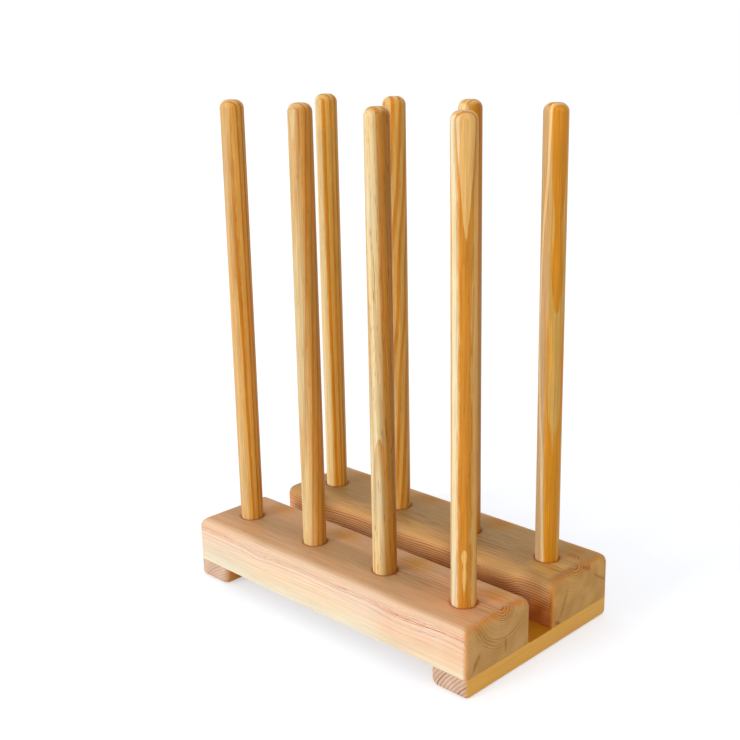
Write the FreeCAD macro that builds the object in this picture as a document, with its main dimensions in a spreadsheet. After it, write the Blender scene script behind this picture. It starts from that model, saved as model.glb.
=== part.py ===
import FreeCAD, Part
import os

import Sketcher
from FreeCAD import Vector

# Boot rack for four pairs of boots: two thick beams lie side by side on two cross battens,
# and a row of four tall round pegs stands in each beam. A boot hangs upside down on a peg.
# Millimetres. +X runs along the beams, +Y towards the rear beam, +Z up.
# The origin is on the floor, in the middle of the rack.

# Driving dimensions: alias, value and meaning. Everything else is worked out from them.
SIZES = [
    ("beam_length", 400, "length of both beams"),
    ("beam_width", 98, "width of one beam"),
    ("beam_thickness", 50, "thickness of one beam"),
    ("beam_gap", 36, "open slot between the two beams"),
    ("beam_top_round", 10, "rounding of a beam's four top edges"),
    ("corner_round", 5, "rounding of the beams' and battens' flush upright corners"),
    ("batten_width", 46, "width of a cross batten"),
    ("batten_thickness", 21, "thickness of a cross batten"),
    ("batten_inner_round", 9, "rounding of a batten's inner bottom edge"),
    ("batten_outer_round", 4, "rounding of a batten's outer bottom edge"),
    ("batten_end_round", 7, "rounding of a batten's two end bottom edges"),
    ("batten_inner_corner_round", 8, "rounding of a batten's two inner upright corners"),
    ("peg_radius", 12.5, "radius of a peg"),
    ("peg_length", 500, "whole length of a peg, with its glued end"),
    ("peg_tip_round", 9, "rounding of a peg's top"),
    ("peg_foot_chamfer", 1.5, "chamfer on a peg's glued end"),
    ("peg_pitch", 106, "spacing of the pegs along a beam"),
    ("peg_row_setback", 45, "peg axes behind the front face of their own beam"),
    ("peg_hole_depth", 33, "depth of a blind peg hole"),
    ("peg_hole_clearance", 0.1, "radial room round a peg in its hole"),
    ("peg_hole_chamfer", 0.8, "chamfer round the mouth of a peg hole"),
    ("glue_relief", 0.2, "radial relief sanded on a peg's glued end"),
    ("screw_length", 50, "length of a batten screw"),
    ("screw_head_radius", 4.8, "radius of a screw head"),
    ("screw_shank_radius", 2.5, "radius of the plain shank"),
    ("screw_core_radius", 2.1, "radius of the threaded length"),
    ("screw_tip_length", 6, "length of the point"),
    ("screw_recess_length", 5.6, "length of one arm pair of the cross recess"),
    ("screw_recess_width", 1.2, "width of an arm of the cross recess"),
    ("screw_recess_depth", 2.2, "depth of the cross recess"),
    ("screw_sink", 0.6, "how far a head sits above the batten's underside"),
    ("screw_edge_distance", 24, "screw axes from either face of a beam"),
    ("screw_hole_clearance", 0.3, "radial room round a shank in its batten"),
    ("pilot_clearance", 0.05, "radial room round a screw in its beam"),
    ("cutter_overrun", 3, "how far a rounding cutter runs outside the wood"),
]

PEGS_PER_BEAM = 4
TOLERANCE = 1e-4

RACK_DEPTH = "(2 * Sizes.beam_width + Sizes.beam_gap)"
BEAM_OFFSET = "((Sizes.beam_width + Sizes.beam_gap) / 2)"
BATTEN_OFFSET = "((Sizes.beam_length - Sizes.batten_width) / 2)"
PEG_ROW_IN_BEAM = "(Sizes.peg_row_setback - Sizes.beam_width / 2)"
SCREW_ROW_IN_BEAM = "(Sizes.beam_width / 2 - Sizes.screw_edge_distance)"
PEG_HOLE_RADIUS = "(Sizes.peg_radius + Sizes.peg_hole_clearance)"
SCREW_HOLE_RADIUS = "(Sizes.screw_shank_radius + Sizes.screw_hole_clearance)"

doc = FreeCAD.newDocument("boot_rack")
sheet = doc.addObject("Spreadsheet::Sheet", "Sizes")
for row, (alias, value, meaning) in enumerate(SIZES, start=1):
    sheet.set(f"A{row}", alias)
    sheet.set(f"B{row}", str(value))
    sheet.set(f"C{row}", meaning)
    sheet.setAlias(f"B{row}", alias)
doc.recompute()


def worked_out(expression):
    """The present value of an expression on the sheet, for a sketch's first guess."""
    return float(sheet.evalExpression(expression.replace("Sizes.", "")))


def new_body(label):
    body = doc.addObject("PartDesign::Body", label)
    body.Label = label
    return body


def new_sketch(body, plane, name, lift=None):
    """A sketch on one of the body's own origin planes, lifted off it by an expression."""
    sketch = body.newObject("Sketcher::SketchObject", name)
    support = [item for item in body.Origin.OriginFeatures if item.Role == plane][0]
    sketch.AttachmentSupport = [(support, "")]
    sketch.MapMode = "FlatFace"
    if lift:
        sketch.setExpression("AttachmentOffset.Base.z", lift)
    return sketch


def bind(sketch, index, name, expression):
    sketch.renameConstraint(index, name)
    sketch.setExpression(f"Constraints.{name}", expression)


def hold_at(sketch, element, point, name, across, along):
    """Holds one point of a sketch at two expressions, measured from the sketch's origin."""
    for kind, expression in (("DistanceX", across), ("DistanceY", along)):
        value = worked_out(expression)
        if abs(value) < TOLERANCE:
            axis = -2 if kind == "DistanceX" else -1
            sketch.addConstraint(Sketcher.Constraint("PointOnObject", element, point, axis))
            continue
        if value > 0:
            ends, sign = (-1, 1, element, point), ""
        else:
            ends, sign = (element, point, -1, 1), "-"
        index = sketch.addConstraint(Sketcher.Constraint(kind, *ends, abs(value)))
        bind(sketch, index, f"{name}_{kind[-1].lower()}", f"{sign}({expression})")


def draw_loop(sketch, corners):
    """A closed loop of straight lines through corners given as pairs of expressions."""
    spots = [Vector(worked_out(across), worked_out(along), 0) for across, along in corners]
    lines = []
    for number, spot in enumerate(spots):
        following = spots[(number + 1) % len(spots)]
        lines.append(sketch.addGeometry(Part.LineSegment(spot, following)))
    for number, line in enumerate(lines):
        following = lines[(number + 1) % len(lines)]
        sketch.addConstraint(Sketcher.Constraint("Coincident", line, 2, following, 1))
        hold_at(sketch, line, 1, f"corner_{number}", *corners[number])


def draw_circle(sketch, name, across, along, radius):
    centre = Vector(worked_out(across), worked_out(along), 0)
    size = worked_out(radius)
    circle = sketch.addGeometry(Part.Circle(centre, Vector(0, 0, 1), size))
    hold_at(sketch, circle, 3, name, across, along)
    index = sketch.addConstraint(Sketcher.Constraint("Radius", circle, size))
    bind(sketch, index, f"{name}_radius", radius)


def draw_corner_cut(sketch, name, side, up, half_width, height, radius):
    """The waste outside one rounded corner, as a rounding cutter takes it away.

    The corner lies at side * half_width and at height, and up says which way is outside.
    """
    reach = worked_out("Sizes.cutter_overrun")
    size = worked_out(radius)
    corner = Vector(side * worked_out(half_width), worked_out(height), 0)
    centre = corner - Vector(side * size, up * size, 0)
    flat = centre + Vector(0, up * size, 0)
    wall = centre + Vector(side * size, 0, 0)
    above = flat + Vector(0, up * reach, 0)
    outside = corner + Vector(side * reach, up * reach, 0)
    beside = wall + Vector(side * reach, 0, 0)
    path = [flat, above, outside, beside, wall]
    lines = [sketch.addGeometry(Part.LineSegment(a, b)) for a, b in zip(path, path[1:])]
    middle = centre + Vector(side, up, 0).normalize() * size
    arc = sketch.addGeometry(Part.Arc(wall, middle, flat))
    wall_first = sketch.getPoint(arc, 1).distanceToPoint(wall) < TOLERANCE
    wall_end, flat_end = (1, 2) if wall_first else (2, 1)
    for first, second in zip(lines, lines[1:]):
        sketch.addConstraint(Sketcher.Constraint("Coincident", first, 2, second, 1))
    sketch.addConstraint(Sketcher.Constraint("Coincident", lines[-1], 2, arc, wall_end))
    sketch.addConstraint(Sketcher.Constraint("Coincident", arc, flat_end, lines[0], 1))
    for line, kind in zip(lines, ("Vertical", "Horizontal", "Vertical", "Horizontal")):
        sketch.addConstraint(Sketcher.Constraint(kind, line))
    sketch.addConstraint(Sketcher.Constraint("Vertical", arc, 3, lines[0], 1))
    sketch.addConstraint(Sketcher.Constraint("Horizontal", arc, 3, lines[-1], 2))
    centre_across = f"{side} * ({half_width} - {radius})"
    centre_along = f"{height} - {up} * {radius}"
    hold_at(sketch, arc, 3, f"{name}_centre", centre_across, centre_along)
    index = sketch.addConstraint(Sketcher.Constraint("Radius", arc, size))
    bind(sketch, index, f"{name}_radius", radius)
    for line, end in ((lines[0], "top"), (lines[-1], "side")):
        index = sketch.addConstraint(Sketcher.Constraint("Distance", line, reach))
        bind(sketch, index, f"{name}_{end}_overrun", "Sizes.cutter_overrun")


def pad(body, sketch, name, length):
    feature = body.newObject("PartDesign::Pad", name)
    feature.Profile = sketch
    feature.setExpression("Length", length)
    doc.recompute()
    return feature


def pocket(body, sketch, name, depth=None, upwards=False):
    """A pocket that has to take wood away: to a depth, or both ways through everything."""
    before = body.Shape.Volume
    feature = body.newObject("PartDesign::Pocket", name)
    feature.Profile = sketch
    if depth:
        feature.setExpression("Length", depth)
        feature.Reversed = upwards
    else:
        feature.Type = "ThroughAll"
        feature.Midplane = True
    doc.recompute()
    if body.Shape.Volume > before - TOLERANCE:
        raise RuntimeError(f"{body.Label}: {name} cuts nothing")
    return feature


def chamfer_rims(body, base, name, radius, height, size):
    """Chamfers the circular edges of one radius that lie at one height of the body."""
    wanted_radius = worked_out(radius)
    wanted_height = worked_out(height)
    rims = []
    for number, edge in enumerate(base.Shape.Edges, start=1):
        if not isinstance(edge.Curve, Part.Circle):
            continue
        level = abs(edge.Curve.Center.z - wanted_height) < TOLERANCE
        flat = abs(edge.BoundBox.ZLength) < TOLERANCE
        if level and flat and abs(edge.Curve.Radius - wanted_radius) < TOLERANCE:
            rims.append(f"Edge{number}")
    feature = body.newObject("PartDesign::Chamfer", name)
    feature.Base = (base, rims)
    feature.setExpression("Size", size)
    doc.recompute()
    return feature


def make_beam(label, side):
    """A beam with its roundings, peg holes and pilot holes; side is -1 in front, 1 behind."""
    body = new_body(label)
    half_length = "Sizes.beam_length / 2"
    half_width = "Sizes.beam_width / 2"

    plan = new_sketch(body, "XY_Plane", f"{label}_plan")
    draw_loop(plan, [(f"-{half_length}", f"-{half_width}"), (half_length, f"-{half_width}"),
                     (half_length, half_width), (f"-{half_length}", half_width)])
    pad(body, plan, f"{label}_stock", "Sizes.beam_thickness")

    long_edges = new_sketch(body, "YZ_Plane", f"{label}_long_edges")
    for number, hand in enumerate((-1, 1)):
        draw_corner_cut(long_edges, f"cut_{number}", hand, 1, half_width,
                        "Sizes.beam_thickness", "Sizes.beam_top_round")
    pocket(body, long_edges, f"{label}_long_rounding")

    end_edges = new_sketch(body, "XZ_Plane", f"{label}_end_edges")
    for number, hand in enumerate((-1, 1)):
        draw_corner_cut(end_edges, f"cut_{number}", hand, 1, half_length,
                        "Sizes.beam_thickness", "Sizes.beam_top_round")
    pocket(body, end_edges, f"{label}_end_rounding")

    corners = new_sketch(body, "XY_Plane", f"{label}_corners")
    for number, (hand, up) in enumerate(((-1, -1), (1, -1), (-1, 1), (1, 1))):
        draw_corner_cut(corners, f"cut_{number}", hand, up, half_length,
                        f"{up} * {half_width}", "Sizes.corner_round")
    pocket(body, corners, f"{label}_corner_rounding")

    pilots = new_sketch(body, "XY_Plane", f"{label}_pilots")
    for number, (hand, up) in enumerate(((-1, -1), (1, -1), (-1, 1), (1, 1))):
        draw_circle(pilots, f"pilot_{number}", f"{hand} * {BATTEN_OFFSET}",
                    f"{up} * {SCREW_ROW_IN_BEAM}",
                    "Sizes.screw_core_radius + Sizes.pilot_clearance")
    pocket(body, pilots, f"{label}_pilot_holes", upwards=True,
           depth="Sizes.screw_sink + Sizes.screw_length - Sizes.batten_thickness")

    mouths = new_sketch(body, "XY_Plane", f"{label}_mouths", "Sizes.beam_thickness")
    for number in range(PEGS_PER_BEAM):
        draw_circle(mouths, f"mouth_{number}", peg_place(number), PEG_ROW_IN_BEAM,
                    PEG_HOLE_RADIUS)
    holes = pocket(body, mouths, f"{label}_peg_holes", "Sizes.peg_hole_depth")
    chamfer_rims(body, holes, f"{label}_mouth_chamfer", PEG_HOLE_RADIUS,
                 "Sizes.beam_thickness", "Sizes.peg_hole_chamfer")

    body.setExpression("Placement.Base.y", f"{side} * {BEAM_OFFSET}")
    body.setExpression("Placement.Base.z", "Sizes.batten_thickness")
    return body


def make_batten(label, side):
    """A cross batten under both beams' ends; side is -1 at the left, 1 at the right."""
    body = new_body(label)
    half_width = "Sizes.batten_width / 2"
    half_length = f"{RACK_DEPTH} / 2"

    plan = new_sketch(body, "XY_Plane", f"{label}_plan")
    draw_loop(plan, [(f"-{half_width}", f"-{half_length}"), (half_width, f"-{half_length}"),
                     (half_width, half_length), (f"-{half_width}", half_length)])
    pad(body, plan, f"{label}_stock", "Sizes.batten_thickness")

    long_edges = new_sketch(body, "XZ_Plane", f"{label}_long_edges")
    draw_corner_cut(long_edges, "outer", side, -1, half_width, "0", "Sizes.batten_outer_round")
    draw_corner_cut(long_edges, "inner", -side, -1, half_width, "0", "Sizes.batten_inner_round")
    pocket(body, long_edges, f"{label}_long_rounding")

    end_edges = new_sketch(body, "YZ_Plane", f"{label}_end_edges")
    for number, hand in enumerate((-1, 1)):
        draw_corner_cut(end_edges, f"cut_{number}", hand, -1, half_length, "0",
                        "Sizes.batten_end_round")
    pocket(body, end_edges, f"{label}_end_rounding")

    corners = new_sketch(body, "XY_Plane", f"{label}_corners")
    for number, up in enumerate((-1, 1)):
        draw_corner_cut(corners, f"outer_{number}", side, up, half_width,
                        f"{up} * {half_length}", "Sizes.corner_round")
        draw_corner_cut(corners, f"inner_{number}", -side, up, half_width,
                        f"{up} * {half_length}", "Sizes.batten_inner_corner_round")
    pocket(body, corners, f"{label}_corner_rounding")

    screw_marks = new_sketch(body, "XY_Plane", f"{label}_screw_marks")
    for number, place in enumerate(screw_places()):
        draw_circle(screw_marks, f"screw_{number}", "0", place, SCREW_HOLE_RADIUS)
    holes = pocket(body, screw_marks, f"{label}_screw_holes")
    chamfer_rims(body, holes, f"{label}_countersinks", SCREW_HOLE_RADIUS, "0",
                 f"Sizes.screw_head_radius + Sizes.screw_sink - {SCREW_HOLE_RADIUS}")

    body.setExpression("Placement.Base.x", f"{side} * {BATTEN_OFFSET}")
    return body


def peg_place(number):
    """Where a peg stands along its beam, counted from the left."""
    return f"{number - (PEGS_PER_BEAM - 1) / 2} * Sizes.peg_pitch"


def screw_places():
    """Where the four screws of a batten lie along it, two under each beam."""
    return [f"{side} * {BEAM_OFFSET} + {hand} * {SCREW_ROW_IN_BEAM}"
            for side in (-1, 1) for hand in (-1, 1)]


def make_peg(label, number, side):
    """A round peg with a domed top, glued into its blind hole down to the hole's floor."""
    body = new_body(label)
    foot = "(Sizes.peg_radius - Sizes.glue_relief)"
    outline = new_sketch(body, "XZ_Plane", f"{label}_outline")
    draw_loop(outline, [
        ("0", "0"),
        (f"{foot} - Sizes.peg_foot_chamfer", "0"),
        (foot, "Sizes.peg_foot_chamfer"),
        (foot, "Sizes.peg_hole_depth"),
        ("Sizes.peg_radius", "Sizes.peg_hole_depth"),
        ("Sizes.peg_radius", "Sizes.peg_length"),
        ("0", "Sizes.peg_length"),
    ])
    turned = body.newObject("PartDesign::Revolution", f"{label}_turned")
    turned.Profile = outline
    turned.ReferenceAxis = (outline, ["V_Axis"])
    turned.Angle = 360
    doc.recompute()

    top = worked_out("Sizes.peg_length")
    rims = [f"Edge{index}" for index, edge in enumerate(turned.Shape.Edges, start=1)
            if isinstance(edge.Curve, Part.Circle) and abs(edge.Curve.Center.z - top) < TOLERANCE]
    dome = body.newObject("PartDesign::Fillet", f"{label}_dome")
    dome.Base = (turned, rims)
    dome.setExpression("Radius", "Sizes.peg_tip_round")
    doc.recompute()

    body.setExpression("Placement.Base.x", peg_place(number))
    body.setExpression("Placement.Base.y", f"{side} * {BEAM_OFFSET} + {PEG_ROW_IN_BEAM}")
    body.setExpression("Placement.Base.z", "Sizes.batten_thickness + Sizes.beam_thickness"
                                           " - Sizes.peg_hole_depth")
    return body


def make_screw(label, side, place):
    """A countersunk wood screw, point up, through a batten into a beam."""
    body = new_body(label)
    plain = "(Sizes.batten_thickness - Sizes.screw_sink)"
    outline = new_sketch(body, "XZ_Plane", f"{label}_outline")
    draw_loop(outline, [
        ("0", "0"),
        ("Sizes.screw_head_radius", "0"),
        ("Sizes.screw_shank_radius", "Sizes.screw_head_radius - Sizes.screw_shank_radius"),
        ("Sizes.screw_shank_radius", plain),
        ("Sizes.screw_core_radius", plain),
        ("Sizes.screw_core_radius", "Sizes.screw_length - Sizes.screw_tip_length"),
        ("0", "Sizes.screw_length"),
    ])
    turned = body.newObject("PartDesign::Revolution", f"{label}_turned")
    turned.Profile = outline
    turned.ReferenceAxis = (outline, ["V_Axis"])
    turned.Angle = 360
    doc.recompute()

    arm = "Sizes.screw_recess_length / 2"
    wing = "Sizes.screw_recess_width / 2"
    cross = new_sketch(body, "XY_Plane", f"{label}_cross")
    draw_loop(cross, [
        (wing, f"-{arm}"), (wing, f"-{wing}"), (arm, f"-{wing}"), (arm, wing),
        (wing, wing), (wing, arm), (f"-{wing}", arm), (f"-{wing}", wing),
        (f"-{arm}", wing), (f"-{arm}", f"-{wing}"), (f"-{wing}", f"-{wing}"),
        (f"-{wing}", f"-{arm}"),
    ])
    pocket(body, cross, f"{label}_recess", "Sizes.screw_recess_depth", upwards=True)

    body.setExpression("Placement.Base.x", f"{side} * {BATTEN_OFFSET}")
    body.setExpression("Placement.Base.y", place)
    body.setExpression("Placement.Base.z", "Sizes.screw_sink")
    return body


def make_screw_group(label, side):
    """The four equal screws of one batten, kept as one group of separate solids."""
    group = doc.addObject("Part::Compound", label)
    group.Label = label
    group.Links = [make_screw(f"{label}_{number}", side, place)
                   for number, place in enumerate(screw_places(), start=1)]
    return group


pieces = [
    make_batten("left_batten", -1),
    make_batten("right_batten", 1),
    make_beam("front_beam", -1),
    make_beam("rear_beam", 1),
]
for row_name, row_side in (("front", -1), ("rear", 1)):
    for peg_number in range(PEGS_PER_BEAM):
        pieces.append(make_peg(f"peg_{row_name}_{peg_number + 1}", peg_number, row_side))
pieces.append(make_screw_group("left_batten_screws", -1))
pieces.append(make_screw_group("right_batten_screws", 1))
doc.recompute()

for item in doc.Objects:
    if "Invalid" in item.State or "Error" in item.State:
        raise RuntimeError(f"{item.Label} failed: {item.State}")
for piece in pieces:
    if piece.Shape.isNull() or not piece.Shape.isValid():
        raise RuntimeError(f"{piece.Label} has no valid shape")

os.makedirs("parts", exist_ok=True)
for piece in pieces:
    piece.Shape.exportStep(f"parts/{piece.Label}.step")
    box = piece.Shape.BoundBox
    print(f"{piece.Label}: {len(piece.Shape.Solids)} solid(s), {piece.Shape.Volume:.1f} mm3,",
          f"x {box.XMin:.2f}..{box.XMax:.2f}, y {box.YMin:.2f}..{box.YMax:.2f},",
          f"z {box.ZMin:.2f}..{box.ZMax:.2f}")
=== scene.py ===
# %% [markdown]
# A boot rack for four pairs of boots: two thick rounded beams lie on two cross battens, and
# eight tall round pegs stand in the beams. The construction is already made, to its real
# size, so this lesson starts from that frame and builds the looks round it: boards and pegs
# with the small marks that tools leave, and wood whose rings run through the whole solid.
# Everything is in metres. X runs along the beams, Y towards the rear beam, Z up.

import bpy
import math
from mathutils import Matrix, Vector


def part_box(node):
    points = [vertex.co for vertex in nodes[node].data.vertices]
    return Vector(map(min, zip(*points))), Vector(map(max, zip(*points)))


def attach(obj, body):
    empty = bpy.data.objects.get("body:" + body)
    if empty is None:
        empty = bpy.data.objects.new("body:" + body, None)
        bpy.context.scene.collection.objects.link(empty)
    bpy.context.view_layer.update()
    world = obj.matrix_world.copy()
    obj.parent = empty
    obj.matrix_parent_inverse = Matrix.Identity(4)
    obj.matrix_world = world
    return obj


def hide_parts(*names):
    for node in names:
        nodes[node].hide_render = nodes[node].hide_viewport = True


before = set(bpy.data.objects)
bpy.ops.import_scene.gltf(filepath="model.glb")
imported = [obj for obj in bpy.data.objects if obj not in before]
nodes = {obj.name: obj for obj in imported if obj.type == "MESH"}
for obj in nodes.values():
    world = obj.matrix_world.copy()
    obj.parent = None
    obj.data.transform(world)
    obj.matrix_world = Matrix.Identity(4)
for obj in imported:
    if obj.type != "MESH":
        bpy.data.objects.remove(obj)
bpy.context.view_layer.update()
print("nodes in the frame:", ", ".join(sorted(nodes)))

# %% [markdown]
# Most numbers of a rack are easier to read in millimetres. One short name turns them into
# the metres that Blender works in. A second one turns a colour as a painter's chart gives it,
# from 0 to 255, into the linear values that the shaders add and multiply.

# %% Units and colours
MM = 0.001


def chart(red, green, blue):
    """A colour chart's values as a linear colour with alpha."""
    def linear(value):
        share = value / 255
        return share / 12.92 if share <= 0.04045 else ((share + 0.055) / 1.055) ** 2.4
    return (linear(red), linear(green), linear(blue), 1.0)


print("mid grey 128 is", round(chart(128, 128, 128)[0], 3), "in linear light")

# %% [markdown]
# The view is that of a product shot: the camera stands in front of the rack's right-hand
# end, a little above the pegs' tops, and looks slightly down. A camera is held by a place,
# three angles and a lens. The angles are turned into three directions here, because a
# matrix of directions can't be read in the wrong order, as three turns can.

# %% Camera
FRAME_PIXELS = 740
CAMERA_PLACE = Vector((821.3, -849.5, 602.4)) * MM
CAMERA_YAW = math.radians(43.295)
CAMERA_PITCH = math.radians(15.368)
CAMERA_ROLL = math.radians(0.719)
LENS_PIXELS = 1163.3
CENTRE_PIXELS = (407.0, 352.8)

forward = Vector((-math.sin(CAMERA_YAW) * math.cos(CAMERA_PITCH),
                  math.cos(CAMERA_YAW) * math.cos(CAMERA_PITCH),
                  -math.sin(CAMERA_PITCH)))
level = Vector((math.cos(CAMERA_YAW), math.sin(CAMERA_YAW), 0))
down = forward.cross(level)
right = level * math.cos(CAMERA_ROLL) + down * math.sin(CAMERA_ROLL)
up = level * math.sin(CAMERA_ROLL) - down * math.cos(CAMERA_ROLL)

bpy.ops.object.camera_add(location=(0, 0, 0))
camera = bpy.context.object
camera.name = "camera"
camera.matrix_world = (Matrix.Translation(CAMERA_PLACE)
                       @ Matrix((right, up, -forward)).transposed().to_4x4())
camera.data.sensor_width = 36
camera.data.lens = camera.data.sensor_width * LENS_PIXELS / FRAME_PIXELS
camera.data.shift_x = 0.5 - CENTRE_PIXELS[0] / FRAME_PIXELS
camera.data.shift_y = CENTRE_PIXELS[1] / FRAME_PIXELS - 0.5
camera.data.clip_start = 0.01
bpy.context.scene.camera = camera
bpy.context.scene.view_settings.view_transform = "Standard"
print("lens", round(camera.data.lens, 1), "mm, forward", [round(v, 3) for v in forward])

# %% [markdown]
# A material is a small network of nodes, and wood needs a lot of plain arithmetic in it. So
# a value that varies over the surface is held in a small class that knows its material:
# adding or multiplying two values adds the node that does so. A second class holds the
# material itself. What is the same all over goes straight on a socket, without a node.

# %% Values and materials
class Value:
    """A number or a vector that varies over a surface. Arithmetic on it adds nodes."""

    def __init__(self, recipe, socket):
        self.recipe = recipe
        self.socket = socket

    def sum(self, operation, *others):
        return self.recipe.sum(operation, self, *others)

    def __add__(self, other):
        return self.sum("ADD", other)

    def __sub__(self, other):
        return self.sum("SUBTRACT", other)

    def __rsub__(self, other):
        return self.recipe.sum("SUBTRACT", other, self)

    def __mul__(self, other):
        return self.sum("MULTIPLY", other)

    def __truediv__(self, other):
        return self.sum("DIVIDE", other)

    def __abs__(self):
        return self.sum("ABSOLUTE")

    def axes(self):
        parts = self.recipe.add("ShaderNodeSeparateXYZ", {"Vector": self}).outputs
        return [Value(self.recipe, part) for part in parts]

    def noise(self, size, detail=2.0, roughness=0.5):
        """Noise from about -0.5 to 0.5, whose blots are about one size across."""
        inputs = {"Vector": self, "Scale": 1 / size, "Detail": detail, "Roughness": roughness}
        return self.recipe.value("ShaderNodeTexNoise", inputs, "Fac") - 0.5

    def lottery(self):
        """A number from 0 to 1, drawn anew for each whole number that the value passes."""
        return self.recipe.value("ShaderNodeTexWhiteNoise", {"W": self.sum("FLOOR")}, "Value",
                                 noise_dimensions="1D")

    def rise(self, low, high, start=0.0, end=1.0):
        """A smooth step from start to end, as the value goes from low to high."""
        inputs = {0: self, 1: low, 2: high, 3: start, 4: end}
        return self.recipe.value("ShaderNodeMapRange", inputs, interpolation_type="SMOOTHSTEP")

    def fall(self, low, high, start=1.0):
        return self.rise(low, high, start, 0.0)

    def rise_evenly(self, low, high):
        return self.recipe.value("ShaderNodeMapRange", {0: self, 1: low, 2: high})

    def ramp(self, stops):
        """Greys or colours at places from 0 to 1, blended between them."""
        node = self.recipe.add("ShaderNodeValToRGB", {0: self})
        marks = node.color_ramp.elements
        marks[0].position = stops[0][0]
        marks[1].position = stops[-1][0]
        for place, shade in stops[1:-1]:
            marks.new(place)
        for mark, (place, shade) in zip(marks, stops):
            mark.color = shade if isinstance(shade, tuple) else (shade, shade, shade, 1)
        return Value(self.recipe, node.outputs[0])

    def curve(self, start, end, points, limit):
        """A smooth curve through (share of the way, height) points, within the limit."""
        node = self.recipe.add("ShaderNodeFloatCurve", {"Value": self.rise_evenly(start, end)})
        marks = node.mapping.curves[0].points
        for number, (place, height) in enumerate(points):
            mark = marks[number] if number < 2 else marks.new(place, 0.5)
            mark.location = (place, 0.5 + height / (2 * limit))
        node.mapping.update()
        return Value(self.recipe, node.outputs[0]) * (2 * limit) - limit


class Recipe:
    """One material's nodes, with short ways to add more."""

    def __init__(self, owner):
        owner.use_nodes = True
        self.material = owner
        self.tree = owner.node_tree
        self.surface = self.tree.nodes.get("Principled BSDF") or self.tree.nodes["Background"]

    def add(self, kind, inputs, **settings):
        node = self.tree.nodes.new(kind)
        for key, value in settings.items():
            setattr(node, key, value)
        self.feed(node, inputs)
        return node

    def feed(self, node, inputs):
        for key, value in inputs.items():
            if isinstance(value, Value):
                self.tree.links.new(value.socket, node.inputs[key])
            else:
                node.inputs[key].default_value = value

    def value(self, kind, inputs, output=0, **settings):
        return Value(self, self.add(kind, inputs, **settings).outputs[output])

    def sum(self, operation, *values):
        return self.value("ShaderNodeMath", dict(enumerate(values)), operation=operation)

    def blend(self, share, first, second, mode="MIX"):
        return self.value("ShaderNodeMix", {0: share, 6: first, 7: second}, 2,
                          data_type="RGBA", blend_type=mode)

    def multiplied(self, colour, tint):
        return self.blend(1.0, colour, tint, "MULTIPLY")

    def tinted(self, share, colour, tint):
        """A colour that is multiplied by a tint where the share is 1."""
        return self.blend(share, colour, self.multiplied(colour, tint))

    def shaded(self, colour, shade):
        """A colour multiplied by one grey value."""
        grey = self.value("ShaderNodeCombineColor", {0: shade, 1: shade, 2: shade})
        return self.multiplied(colour, grey)

    def looked_at(self):
        """1 where a ray comes from the camera, a reflection or a glass, else 0."""
        rays = self.add("ShaderNodeLightPath", {}).outputs
        seen, mirrored, through = [Value(self, rays[f"Is {kind} Ray"])
                                   for kind in ("Camera", "Glossy", "Transmission")]
        return seen.sum("MAXIMUM", mirrored).sum("MAXIMUM", through)


print("values and materials are ready")

# %% [markdown]
# The floor is a plain pale sweep that shows as white and still holds the rack's soft shadow.
# Lighting it until it clips would also burn out the wood. So the camera sees a floor that
# glows a little by itself, and the lamps stay at a plain level.

# %% Floor
FLOOR_SIZE = 14.0
FLOOR_GLOW = 0.52
FLOOR_COLOUR = chart(204, 208, 216)

bpy.ops.mesh.primitive_plane_add(size=FLOOR_SIZE, location=(0, 0, 0))
floor = bpy.context.object
floor.name = "floor"
bpy.ops.object.transform_apply()

paint = Recipe(bpy.data.materials.new("floor_paint"))
paint.feed(paint.surface, {
    "Base Color": FLOOR_COLOUR, "Roughness": 1.0, "Specular IOR Level": 0.0,
    "Emission Color": (1, 1, 1, 1), "Emission Strength": paint.looked_at() * FLOOR_GLOW})
floor.data.materials.append(paint.material)
print("floor", FLOOR_SIZE, "m square")

# %% [markdown]
# The main light is a wide soft sun from the left, only a little above the floor. It lights
# the fronts and the left sides of the pegs, and the whole floor evenly. The white room does
# the rest, so the right-hand ends are darker but never black.

# %% Lamps and room
FULL_LIGHT = math.pi
ROOM_STRENGTH = 0.75
KEY_SHARE = 0.50
KEY_SOFTNESS = math.radians(20)
KEY_FROM = Vector((-0.50, -2.20, 0.70))
KEY_COLOUR = (1.0, 0.985, 0.96)

bpy.ops.object.light_add(type="SUN", location=KEY_FROM)
key = bpy.context.object
key.name = "key_light"
key.data.energy = KEY_SHARE * FULL_LIGHT
key.data.angle = KEY_SOFTNESS
key.data.color = KEY_COLOUR
key.rotation_euler = KEY_FROM.to_track_quat("Z", "Y").to_euler()

room = bpy.data.worlds.new("white_room")
bpy.context.scene.world = room
walls = Recipe(room)
walls.feed(walls.surface, {"Color": (1, 1, 1, 1),
                           "Strength": walls.looked_at().rise(0.0, 1.0, ROOM_STRENGTH, 1.0)})
print("key", KEY_SHARE, "and room", ROOM_STRENGTH, "of full light")

# %% [markdown]
# Wood is a solid, so its figure is worked out in the solid and not painted on faces. A tree
# grows in rings round its pith, and a board is a straight cut somewhere out of that tree. So
# the first step is to say where a point lies in its tree: how far along the grain, and how
# far from the pith in two ways across. A board's pith is a line near it or in it. A rod is so
# thin that its pith is far off on one side, and the grain may turn a little along it.
# All lengths inside the wood are millimetres.

# %% Places in the tree
BOARD_AXES = {"x": (0, 1, 2), "y": (1, 0, 2)}
IN_MM = {"Scale": (MM, MM, MM)}


def board_tree(timber, grain, pith, lean):
    """A board whose pith runs along one axis through a point, leaning a little."""
    tree = timber.value("ShaderNodeMapping", {"Vector": timber.point, "Location": pith,
                                              "Rotation": lean, **IN_MM},
                        vector_type="TEXTURE")
    axes = tree.axes()
    return [axes[number] for number in BOARD_AXES[grain]]


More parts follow.
